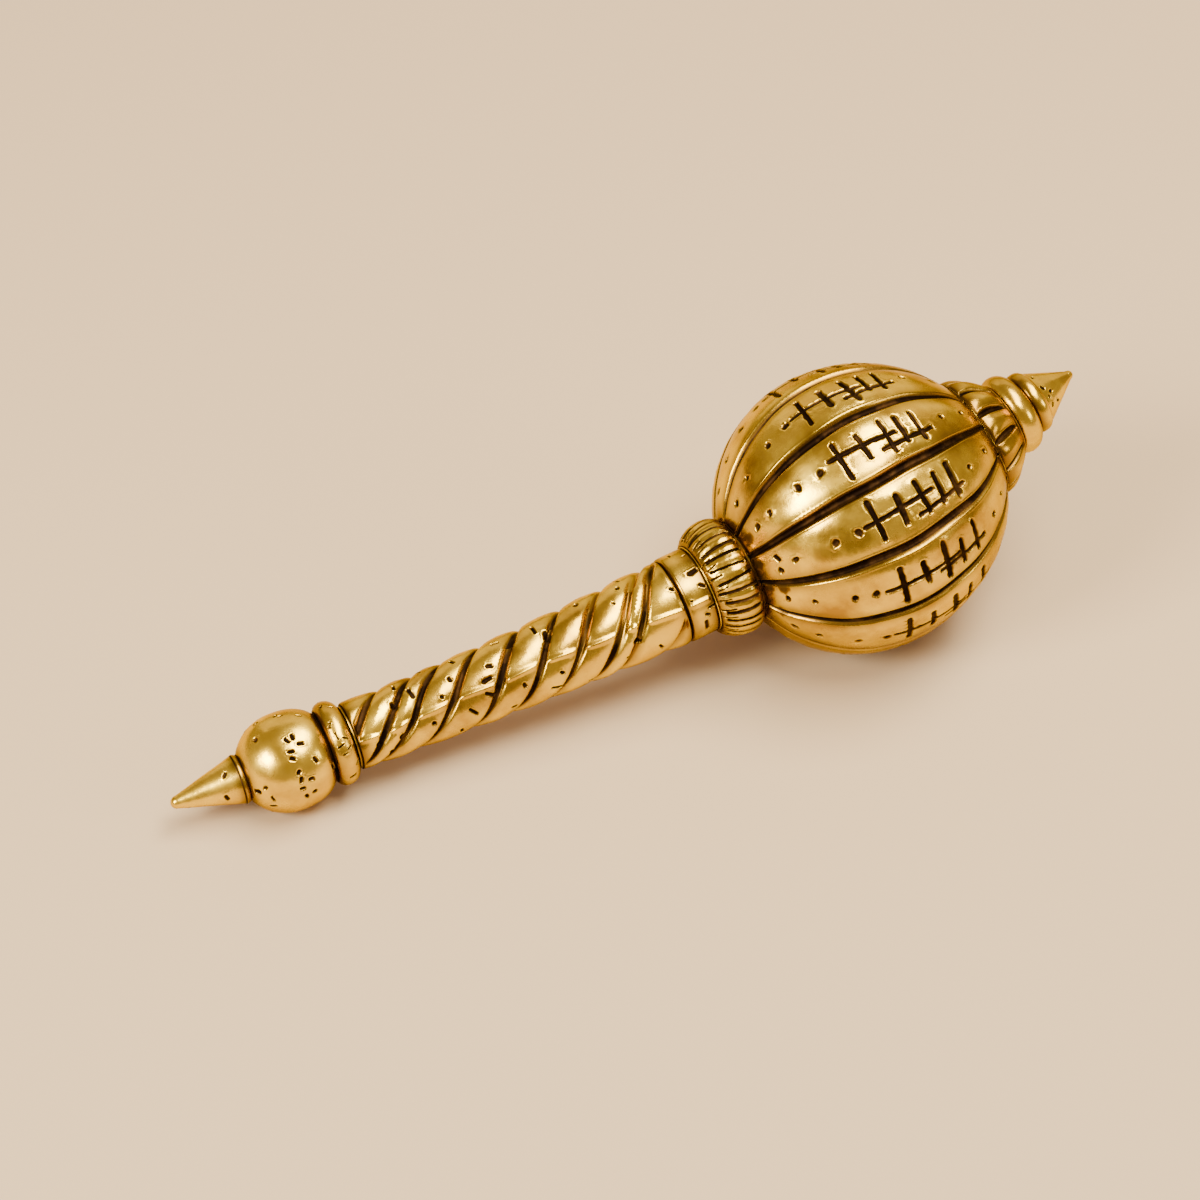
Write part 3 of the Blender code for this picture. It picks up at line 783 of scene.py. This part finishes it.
def pommel_marks():
    random = np.random.default_rng(POMMEL_SEED)
    ball = scattered(random, BALL_START + 1, POMMEL_RING_START - 0.6, count=34, half_widths=(0.18, 0.4),
                     depth=PIT_DEPTH)
    spike = scattered(random, 3, SPIKE_LENGTH - 0.6, count=4, half_widths=(0.18, 0.34), depth=SPIKE_PIT_DEPTH)
    ring = scattered(random, POMMEL_RING_START + 1.2, POMMEL_END - 1.2, count=8, half_widths=(0.16, 0.26),
                     depth=0.22, stretch=2.5)
    ball += placed(random, BALL_START, BALL_PITS, PIT_DEPTH)
    spike += placed(random, 0, SPIKE_PITS, SPIKE_PIT_DEPTH)
    ring += placed(random, POMMEL_RING_START, RING_PITS, SHALLOW_PIT_DEPTH)
    return ball + spike + ring


# Crown and finial

CROWN_SEED = 17
CONE_PITS = (
    (0.9, -12, 0.4, 0.32), (1.9, 4, 0.3, 0.26), (1.1, 12, 0.3, 0.26), (2.4, 40, 0.4, 0.2),
    (0.7, -45, 0.3, 0.2), (1.0, 32, 0.4, 0.2),
)


def petal_grooves(run, angle, radius):
    """Bent grooves between puffed petals, which fade out at both ends of the crown."""
    share = np.clip((place_at(run) - HEAD_END) / CROWN_LENGTH, 0, 1)
    fade = np.sqrt(np.sin(math.pi * share))
    aways = []
    for index in range(PETALS):
        groove_angle = PETAL_TURN + index * TURN / PETALS
        aways.append(radius * turned(angle - groove_angle) + PETAL_BEND * (fade - 0.5))
    nearest = np.min(np.abs(aways), axis=0)
    half_width = PETAL_GROOVE_HALF_WIDTH * (PETAL_GROOVE_LEAST + (1 - PETAL_GROOVE_LEAST) * fade)
    cut = trench(nearest, half_width, PETAL_GROOVE_DEPTH * fade)
    puff = PETAL_PUFF * fade * (1 - np.exp(-((nearest / PETAL_PUFF_REACH) ** 2)) - PETAL_PUFF_SINK)
    lip = PETAL_GROOVE_LIP * fade * groove_lip(nearest, half_width)
    filled = cut.dirt * np.minimum(1, GROOVE_DIRT_GAIN * fade)
    # the halo beside each petal groove is brown tarnish and painted shade
    return Relief(cut.height + puff + lip, np.maximum(filled, fade * halo(nearest, PETAL_HALO_HALF_WIDTH)))


def near_petal_grooves(run, angle, radius):
    return petal_grooves(run, angle, radius).dirt > PETAL_FINE_DIRT


def crown_marks():
    random = np.random.default_rng(CROWN_SEED)
    cone = scattered(random, FINIAL_START + 0.4, LENGTH - 1.5, count=6, half_widths=(0.14, 0.26),
                     depth=SHALLOW_PIT_DEPTH, stretch=1.2)
    return cone + placed(random, FINIAL_START, CONE_PITS, SHALLOW_PIT_DEPTH)


# Seams between the sections: place, half width of the dirt, its strength and half width of the tarnish and
# painted shade beside it

SEAMS = (
    (SPIKE_LENGTH, 0.2, 0.8, 1.1),
    (BALL_START, 0.25, 0.9, 1.6),
    (POMMEL_RING_START, 0.6, 1, 2.0),
    (POMMEL_END + 0.3, 0.7, 1, 2.0),
    (HANDLE_END + 0.3, 0.4, 0.9, 1.6),
    (COLLAR_START, 0.55, 1, 2.2),
    (HEAD_START, 0.5, 1, 3.4),
    (HEAD_END, 0.4, 1, 2.2),
    (CROWN_END, 0.5, 1, 1.9),
    (CROWN_RING_END, 0.45, 1, 1.6),
)
# Gain of the brown tarnish and painted shade beside the seams
SEAM_HALO_GAIN = 1.25

# Fine beads that lie in some of the seams: place and rise
BEADS = (
    (HANDLE_FOOT - 0.3, 0.16), (COLLAR_START, 0.2), (HEAD_START, 0.3), (HEAD_END, 0.26), (CROWN_END, 0.24),
)
BEAD_HALF_WIDTH = 0.16
BEAD_BED_HALF_WIDTH = 0.5
BEAD_BED_DEPTH = 0.2
BEAD_BED_DIRT = 0.8
BEAD_CLEANNESS = 0.95


def seam_relief(run):
    """Dirt in the seams with brown tarnish and painted shade beside them, and the fine bright beads that lie
    in some of them.
    """
    height, dirt = np.zeros_like(run), np.zeros_like(run)
    for place, half_width, strength, halo_width in SEAMS:
        away = run - run_at(place)
        filled = strength * np.exp(-((np.abs(away) / half_width) ** 3))
        # the halo beside each seam is brown tarnish and painted shade
        dirt = np.maximum.reduce([dirt, filled, SEAM_HALO_GAIN * strength * halo(away, halo_width)])
    for place, rise in BEADS:
        away = np.abs(run - run_at(place))
        bead = np.exp(-((away / BEAD_HALF_WIDTH) ** 2))
        bed = np.exp(-((away / BEAD_BED_HALF_WIDTH) ** 4))
        height += (BEAD_BED_DEPTH + rise) * bead - BEAD_BED_DEPTH * bed
        dirt = np.maximum(dirt, BEAD_BED_DIRT * bed) * (1 - BEAD_CLEANNESS * bead)
    return Relief(height, dirt)


def near_seams(run):
    return np.min([np.abs(run - run_at(place)) for place, *_ in SEAMS], axis=0) < SEAM_REACH


# From the straight outline to the lying mace

def bowed(place, side, up):
    """Bends straight points onto the bowed axis, as three columns."""
    share = place / LENGTH
    lean = BOW_START + BOW_LEAN * share + BOW_CURL * share**2
    drift = LENGTH * (BOW_START * share + BOW_LEAN * share**2 / 2 + BOW_CURL * share**3 / 3)
    c, s = math.cos(BOW_SIDE), math.sin(BOW_SIDE)
    across, raised = c * side + s * up, c * up - s * side
    out = place - np.sin(lean) * raised
    raised = np.cos(lean) * raised + drift
    return np.stack([out, c * across - s * raised, s * across + c * raised], axis=-1)


def sunk_by_flat(radius, flat_radius):
    return radius - math.sqrt(radius**2 - flat_radius**2)


def lying_down():
    """Turns the bowed mace onto its two flats, and moves its pommel's tip onto the frame's."""
    zero = np.zeros(1)
    ball = Vector(bowed(zero + BALL_CENTRE, zero, zero)[0])
    between = Vector(bowed(zero + HEAD_CENTRE, zero, zero)[0]) - ball
    ball_height = BALL_RADIUS - sunk_by_flat(BALL_RADIUS, BALL_FLAT_RADIUS)
    head_height = HEAD_RADIUS - sunk_by_flat(HEAD_RADIUS, HEAD_FLAT_RADIUS)
    rise = math.asin((head_height - ball_height) / between.length)
    along_x = between.rotation_difference(Vector((1, 0, 0))).to_matrix().to_4x4()
    turn = Matrix.Rotation(-rise, 4, "Y") @ along_x
    lie = Matrix.Translation((0, 0, ball_height)) @ turn @ Matrix.Translation(-ball)
    tip = lie @ Vector(bowed(zero, zero, zero)[0])
    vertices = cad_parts[FRAME_NODE].data.vertices
    frame_tip = min((v.co for v in vertices), key=lambda co: co.x) / MM
    return np.array(Matrix.Translation((frame_tip.x - tip.x, frame_tip.y - tip.y, 0)) @ lie)


LIE = lying_down()


def laid(points):
    return points @ LIE[:3, :3].T + LIE[:3, 3]


def carved_points(run, angle, relief_of):
    """The lying points of the carved surface, and its dirt and painted shade."""
    relief = relief_of(run, angle, radius_at(run))
    slope = np.interp(run, RUN, RUN_SLOPE)
    place = place_at(run) - np.sin(slope) * relief.height
    radius = radius_at(run) + np.cos(slope) * relief.height
    return laid(bowed(place, -radius * np.sin(angle), radius * np.cos(angle))), relief.dirt


def start_grid(first, last):
    """A plain net of triangles over a stretch of the outline."""
    rows = max(2, int((last - first) / START_SIZE))
    run = np.linspace(first, last, rows + 1)
    angle = np.arange(START_COLUMNS) * TURN / START_COLUMNS
    places = np.stack(np.meshgrid(run, angle, indexing="ij"), axis=-1).reshape(-1, 2)
    row, column = np.meshgrid(np.arange(rows), np.arange(START_COLUMNS), indexing="ij")
    following = (column + 1) % START_COLUMNS
    a, b = row * START_COLUMNS + column, (row + 1) * START_COLUMNS + column
    c, d = (row + 1) * START_COLUMNS + following, row * START_COLUMNS + following
    faces = np.concatenate([np.stack([a, c, b], -1).reshape(-1, 3), np.stack([a, d, c], -1).reshape(-1, 3)])
    return places, faces


def split_faces(faces, middles):
    """Divides triangles where their edges have a middle point, which is -1 where an edge stays whole."""
    count = (middles >= 0).sum(axis=1)
    made = [faces[count == 0]]
    whole, m = faces[count == 3], middles[count == 3]
    made += [
        np.stack([whole[:, 0], m[:, 0], m[:, 2]], -1), np.stack([m[:, 0], whole[:, 1], m[:, 1]], -1),
        np.stack([m[:, 2], m[:, 1], whole[:, 2]], -1), m,
    ]
    for turn in range(3):
        order = [turn, (turn + 1) % 3, (turn + 2) % 3]
        f, m = faces[:, order], middles[:, order]
        one = (count == 1) & (m[:, 0] >= 0)
        made += [
            np.stack([f[one, 0], m[one, 0], f[one, 2]], -1), np.stack([m[one, 0], f[one, 1], f[one, 2]], -1),
        ]
        two = (count == 2) & (m[:, 2] < 0)
        made += [
            np.stack([m[two, 0], f[two, 1], m[two, 1]], -1), np.stack([f[two, 0], m[two, 0], m[two, 1]], -1),
            np.stack([f[two, 0], m[two, 1], f[two, 2]], -1),
        ]
    return np.concatenate(made)


def refined(places, faces, sizes_at):
    """Divides the triangles a few times over, wherever an edge is longer than its place allows."""
    for _ in range(REFINE_PASSES):
        ends = np.sort(faces[:, [[0, 1], [1, 2], [2, 0]]].reshape(-1, 2), axis=1)
        keys, edge_of = np.unique(ends[:, 0] * len(places) + ends[:, 1], return_inverse=True)
        edge_of = edge_of.reshape(-1, 3)
        low, high = places[keys // len(places)], places[keys % len(places)]
        along, around = high[:, 0] - low[:, 0], turned(high[:, 1] - low[:, 1])
        middle = np.stack([low[:, 0] + along / 2, (low[:, 1] + around / 2) % TURN], -1)
        radius = radius_at(middle[:, 0])
        along_size, around_size = sizes_at(middle[:, 0], middle[:, 1], radius)
        length = np.hypot(along / along_size, radius * around / around_size)
        split = length > 1
        longest = edge_of[np.arange(len(faces)), length[edge_of].argmax(axis=1)]
        while True:
            missing = split[edge_of].any(axis=1) & ~split[longest]
            if not missing.any():
                break
            split[longest[missing]] = True
        numbers = np.full(len(keys), -1)
        numbers[split] = len(places) + np.arange(split.sum())
        places = np.concatenate([places, middle[split]])
        faces = split_faces(faces, numbers[edge_of])
    return places, faces


def closed_ends(places, faces, first, last):
    """Adds a point on the axis at both ends, with triangles from it to the last ring."""
    for number, run in enumerate((first, last)):
        rim = np.flatnonzero(places[:, 0] == run)
        rim = rim[np.argsort(places[rim, 1])]
        following = np.roll(rim, -1)
        hub = np.full(len(rim), places.shape[0])
        cap = (hub, following, rim) if number == 0 else (hub, rim, following)
        faces = np.concatenate([faces, np.stack(cap, -1)])
        places = np.concatenate([places, [[run, 0.0]]])
    return places, faces


def new_mesh(name, points, normals, faces, dirt):
    data = bpy.data.meshes.new(name)
    data.vertices.add(len(points))
    data.vertices.foreach_set("co", (points * MM).astype(np.float32).ravel())
    data.loops.add(faces.size)
    data.loops.foreach_set("vertex_index", faces.astype(np.int32).ravel())
    data.polygons.add(len(faces))
    data.polygons.foreach_set("loop_start", np.arange(0, faces.size, 3, dtype=np.int32))
    data.update(calc_edges=True)
    data.shade_smooth()
    # Per point: dirt and patina, and the painted shade beside grooves and seams
    data.attributes.new("dirt", "FLOAT", "POINT").data.foreach_set("value", dirt.astype(np.float32))
    data.normals_split_custom_set_from_vertices(normals)
    made = bpy.data.objects.new(name, data)
    bpy.context.scene.collection.objects.link(made)
    return made


def carved_piece(name, first_place, last_place, relief_of, sizes_at, material):
    """One closed piece of the mace between two places of its axis."""
    first = run_at(first_place) if first_place > 0 else OUTLINE_STEP
    last = run_at(last_place) if last_place < LENGTH else RUN[-1] - OUTLINE_STEP
    places, faces = refined(*start_grid(first, last), sizes_at)
    surface = len(places)
    run, angle = places.T
    points, dirt = carved_points(run, angle, relief_of)
    step = SLOPE_STEP / np.maximum(radius_at(run), LEAST_RADIUS)
    before, after = (carved_points(run + s, angle, relief_of)[0] for s in (-SLOPE_STEP, SLOPE_STEP))
    left, right = (carved_points(run, angle + s, relief_of)[0] for s in (-step, step))
    normals = np.cross(right - left, after - before)
    normals /= np.linalg.norm(normals, axis=1, keepdims=True)
    places, faces = closed_ends(places, faces, first, last)
    hubs = laid(bowed(place_at(places[surface:, 0]), np.zeros(2), np.zeros(2)))
    points = np.concatenate([points, hubs])
    axis = (hubs[1] - hubs[0]) / np.linalg.norm(hubs[1] - hubs[0])
    normals = np.concatenate([normals, [-axis, axis]])
    dirt = np.concatenate([dirt, [0, 0]])
    flat = points[:, 2] <= 0
    points[flat, 2] = 0
    normals[flat] = (0, 0, -1)
    made = new_mesh(name, points, normals, faces, dirt)
    made.data.materials.append(material)
    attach(made, "root")
    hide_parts(FRAME_NODE)
    print(name, len(faces), "triangles")
    return made


def relief_from(marks, grooves=None):
    """The relief of one piece: its grooves, its marks, and the dirt in the seams at its ends with the painted
    shade beside them.
    """
    def relief_of(run, angle, radius):
        cut = cut_marks(marks, run, angle, radius)
        seam = seam_relief(run)
        uneven = wavy(SURFACE_WAVES, run, radius * np.sin(angle), radius * np.cos(angle))
        height = cut.height + seam.height + uneven * np.minimum(1, radius / UNEVEN_FROM_RADIUS)
        dirt = np.maximum(cut.dirt, seam.dirt)
        if grooves:
            base = grooves(run, angle, radius)
            height, dirt = height + base.height, np.maximum(dirt, base.dirt)
        return Relief(height, dirt)
    return relief_of


def sizes_from(marks, plain, near_grooves=None, groove_sizes=(FINE_SIZE, FINE_SIZE), mark_size=MARK_SIZE):
    """The greatest length of edges along and around, at each point of one piece."""
    def sizes_at(run, angle, radius):
        along, around = np.full(len(run), plain), np.full(len(run), plain)
        if near_grooves:
            near = near_grooves(run, angle, radius)
            along[near], around[near] = groove_sizes
        near = near_marks(marks, run, angle, radius)
        along[near] = np.minimum(along[near], mark_size)
        around[near] = np.minimum(around[near], mark_size)
        by_seam = near_seams(run)
        along[by_seam] = SEAM_SIZE
        around[by_seam] = np.minimum(around[by_seam], SEAM_SIZE_AROUND)
        hidden = np.abs(turned(angle - SHOWN_SIDE)) > HIDDEN_FROM
        coarseness = np.where(hidden, HIDDEN_COARSENESS, 1)
        return along * coarseness, around * coarseness
    return sizes_at


# Brass

BRASS_CLEAN = (0.95, 0.655, 0.05, 1)
BRASS_WARM = (0.85, 0.555, 0.038, 1)
BRASS_TARNISHED = (0.40, 0.22, 0.02, 1)
# Brown of the tarnish and painted shade beside grooves and seams
BRASS_BROWN_TARNISH_AND_SHADE = (0.21, 0.11, 0.014, 1)
BRASS_EDGE_TINT = (0.82, 0.68, 0.34, 1)
BRASS_ROUGHNESS = (0.19, 0.33)
PATINA_DARK = (0.012, 0.006, 0.003, 1)
PATINA_WORN = (0.075, 0.035, 0.010, 1)
PATINA_ROUGHNESS = (0.6, 0.6, 0.6, 1)
BUMP_STRENGTH = 0.25
BUMP_DISTANCE = 0.0002


def brass():
    """Polished brass with tarnish, fine unevenness, brown tarnish and painted shade beside grooves and seams,
    and dark patina where the dirt is.
    """
    material = bpy.data.materials.new("brass")
    material.use_nodes = True
    nodes, links = material.node_tree.nodes, material.node_tree.links
    shader = nodes["Principled BSDF"]
    coordinates = nodes.new("ShaderNodeTexCoord")
    attribute = nodes.new("ShaderNodeAttribute")
    # The attribute holds dirt and patina, and the painted shade beside grooves and seams
    attribute.attribute_name = "dirt"
    dirt = attribute.outputs["Fac"]

    def noise(scale, detail, roughness):
        made = nodes.new("ShaderNodeTexNoise")
        made.inputs["Scale"].default_value = scale
        made.inputs["Detail"].default_value = detail
        made.inputs["Roughness"].default_value = roughness
        links.new(coordinates.outputs["Object"], made.inputs["Vector"])
        return made.outputs["Fac"]

    def ramp(value, start, end, low=0.0, high=1.0):
        """A grey that rises from low to high while the value goes from start to end."""
        made = nodes.new("ShaderNodeValToRGB")
        for element, position, level in zip(made.color_ramp.elements, (start, end), (low, high)):
            element.position = position
            element.color = (level, level, level, 1)
        links.new(value, made.inputs["Fac"])
        return made.outputs["Color"]

    def mix(factor, first, second):
        made = nodes.new("ShaderNodeMix")
        made.data_type = "RGBA"
        links.new(factor, made.inputs["Factor"])
        for value, socket in ((first, made.inputs["A"]), (second, made.inputs["B"])):
            if isinstance(value, tuple):
                socket.default_value = value
            else:
                links.new(value, socket)
        return made.outputs["Result"]

    clean = mix(ramp(noise(scale=160, detail=3, roughness=0.5), 0.4, 0.62), BRASS_CLEAN, BRASS_WARM)
    dulled = mix(ramp(noise(scale=70, detail=6, roughness=0.6), 0.44, 0.66), clean, BRASS_TARNISHED)
    # Brown where the halos beside grooves and seams lie: tarnish and painted shade
    browned_and_shaded = mix(ramp(dirt, 0.04, 0.4), dulled, BRASS_BROWN_TARNISH_AND_SHADE)
    patina = mix(ramp(noise(scale=260, detail=4, roughness=0.6), 0.48, 0.74), PATINA_DARK, PATINA_WORN)
    filth = ramp(dirt, 0.38, 0.75)
    links.new(mix(filth, browned_and_shaded, patina), shader.inputs["Base Color"])
    polish = ramp(noise(scale=210, detail=5, roughness=0.6), 0.35, 0.7, *BRASS_ROUGHNESS)
    links.new(mix(filth, polish, PATINA_ROUGHNESS), shader.inputs["Roughness"])
    shader.inputs["Metallic"].default_value = 1
    shader.inputs["Specular Tint"].default_value = BRASS_EDGE_TINT
    bump = nodes.new("ShaderNodeBump")
    bump.inputs["Strength"].default_value = BUMP_STRENGTH
    bump.inputs["Distance"].default_value = BUMP_DISTANCE
    links.new(noise(scale=420, detail=4, roughness=0.65), bump.inputs["Height"])
    links.new(bump.outputs["Normal"], shader.inputs["Normal"])
    return material


# Floor, lights and camera, in metres

FLOOR_HALF = 3.0
FLOOR_COLOUR = (0.525, 0.39, 0.23, 1)
FLOOR_ROUGHNESS = 0.85
STUDIO_COLOUR = (0.44, 0.32, 0.29, 1)
LIGHT_TARGET = (0, 0, 0.02)

# Name, place, width, height, power and colour
LIGHTS = (
    ("back", (0.38, 0.81, 0.45), 1.6, 0.7, 3.0, (1.0, 0.80, 0.62)),
    ("top", (0.2, -0.1, 0.75), 0.7, 0.35, 16, (1.0, 0.91, 0.78)),
    ("key", (-0.7, -0.15, 0.5), 0.3, 0.3, 13, (1.0, 0.91, 0.78)),
    ("side", (0.53, -0.5, 0.33), 0.2, 0.2, 1.2, (1.0, 0.90, 0.76)),
)
CAMERA_PLACE = (-0.23344, -0.48153, 0.50869)
CAMERA_TURN = math.radians(25.19)
CAMERA_DOWN = math.radians(42.5)
CAMERA_LENS = 135.0
CAMERA_SENSOR = 36.0


def add_floor():
    half = FLOOR_HALF
    corners = [(-half, -half, 0), (half, -half, 0), (half, half, 0), (-half, half, 0)]
    data = bpy.data.meshes.new("floor")
    data.from_pydata(corners, [], [(0, 1, 2, 3)])
    material = bpy.data.materials.new("floor")
    material.use_nodes = True
    shader = material.node_tree.nodes["Principled BSDF"]
    shader.inputs["Base Color"].default_value = FLOOR_COLOUR
    shader.inputs["Roughness"].default_value = FLOOR_ROUGHNESS
    data.materials.append(material)
    floor = bpy.data.objects.new("floor", data)
    bpy.context.scene.collection.objects.link(floor)


def add_light(name, place, width, height, power, colour):
    light = bpy.data.lights.new(name, "AREA")
    light.shape = "RECTANGLE"
    light.size, light.size_y = width, height
    light.energy = power
    light.color = colour
    lamp = bpy.data.objects.new(name, light)
    lamp.location = place
    aim = Vector(LIGHT_TARGET) - Vector(place)
    lamp.rotation_euler = aim.to_track_quat("-Z", "Y").to_euler()
    bpy.context.scene.collection.objects.link(lamp)


def add_lights():
    world = bpy.data.worlds.new("studio")
    world.use_nodes = True
    world.node_tree.nodes["Background"].inputs["Color"].default_value = STUDIO_COLOUR
    bpy.context.scene.world = world
    for light in LIGHTS:
        add_light(*light)


def add_camera():
    data = bpy.data.cameras.new("camera")
    data.lens = CAMERA_LENS
    data.sensor_width = CAMERA_SENSOR
    camera = bpy.data.objects.new("camera", data)
    camera.location = CAMERA_PLACE
    camera.rotation_euler = (math.pi / 2 - CAMERA_DOWN, 0, -CAMERA_TURN)
    bpy.context.scene.collection.objects.link(camera)
    bpy.context.scene.camera = camera


def main():
    metal = brass()
    marks = pommel_marks()
    carved_piece("pommel", 0, POMMEL_END, relief_from(marks), sizes_from(marks, PLAIN_SIZE), metal)
    marks = handle_marks()
    carved_piece("handle", POMMEL_END, FERRULE_START, relief_from(marks, handle_grooves),
                 sizes_from(marks, PLAIN_SIZE, near_handle_grooves), metal)
    marks = collar_marks()
    carved_piece("collar", FERRULE_START, HEAD_START, relief_from(marks, ferrule_ridge),
                 sizes_from(marks, PLAIN_SIZE, near_ferrule_ridge), metal)
    marks = head_marks()
    carved_piece("head", HEAD_START, HEAD_END, relief_from(marks, head_grooves),
                 sizes_from(marks, HEAD_SIZE, near_head_grooves, GROOVE_SIZES, HEAD_MARK_SIZE), metal)
    marks = crown_marks()
    carved_piece("crown", HEAD_END, LENGTH, relief_from(marks, petal_grooves),
                 sizes_from(marks, PLAIN_SIZE, near_petal_grooves), metal)
    add_floor()
    add_lights()
    add_camera()


main()
